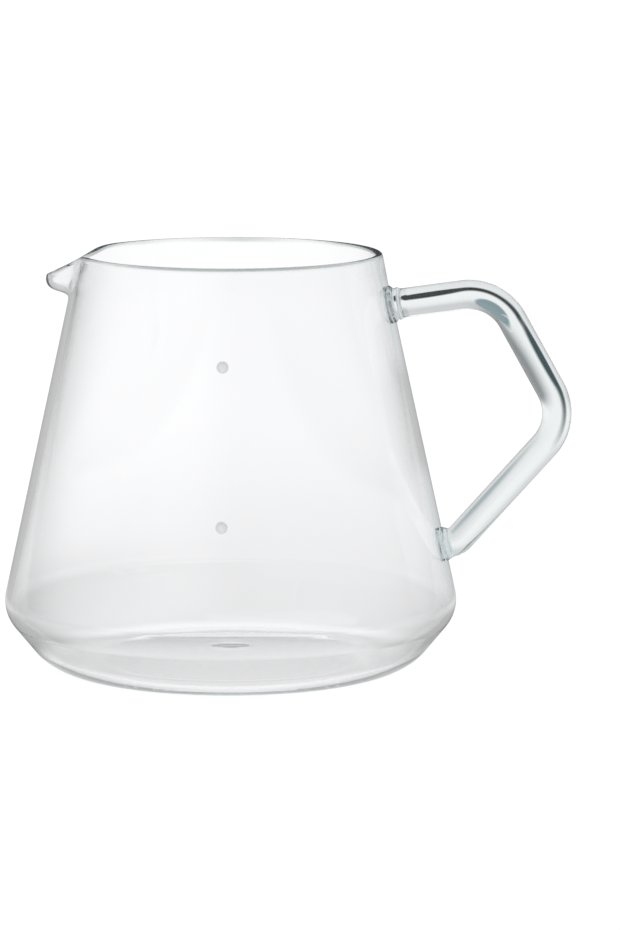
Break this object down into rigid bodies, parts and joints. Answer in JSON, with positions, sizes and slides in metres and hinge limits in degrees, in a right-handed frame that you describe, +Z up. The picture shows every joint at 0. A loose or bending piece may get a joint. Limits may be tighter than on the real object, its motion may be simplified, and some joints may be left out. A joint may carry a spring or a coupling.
{
  "type": "coffee server carafe",
  "caption": "Clear glass coffee server: a cone-shaped vessel with a pinched pouring lip, an angular glass rod handle welded to its wall and printed level dots.",
  "frame": {"origin": "on the vessel's axis, in the plane that the foot stands on", "axes": "+Z up along the vessel's axis, +X towards the handle, -X towards the pouring lip, -Y towards the level dots"},
  "size_m": [0.1567, 0.125, 0.115],
  "materials": {
    "vessel_glass": "clear, smooth, fire-polished",
    "rod_glass": "clear, smooth, fire-polished, faint blue-green tint in its depth",
    "mark_print": "pale grey fired-on print"
  },
  "bodies": {
    "root": {"vessel": "vessel_glass", "handle": "rod_glass", "upper_handle_weld": "rod_glass", "lower_handle_weld": "rod_glass", "upper_level_mark": "mark_print", "lower_level_mark": "mark_print"}
  },
  "joints": []
}
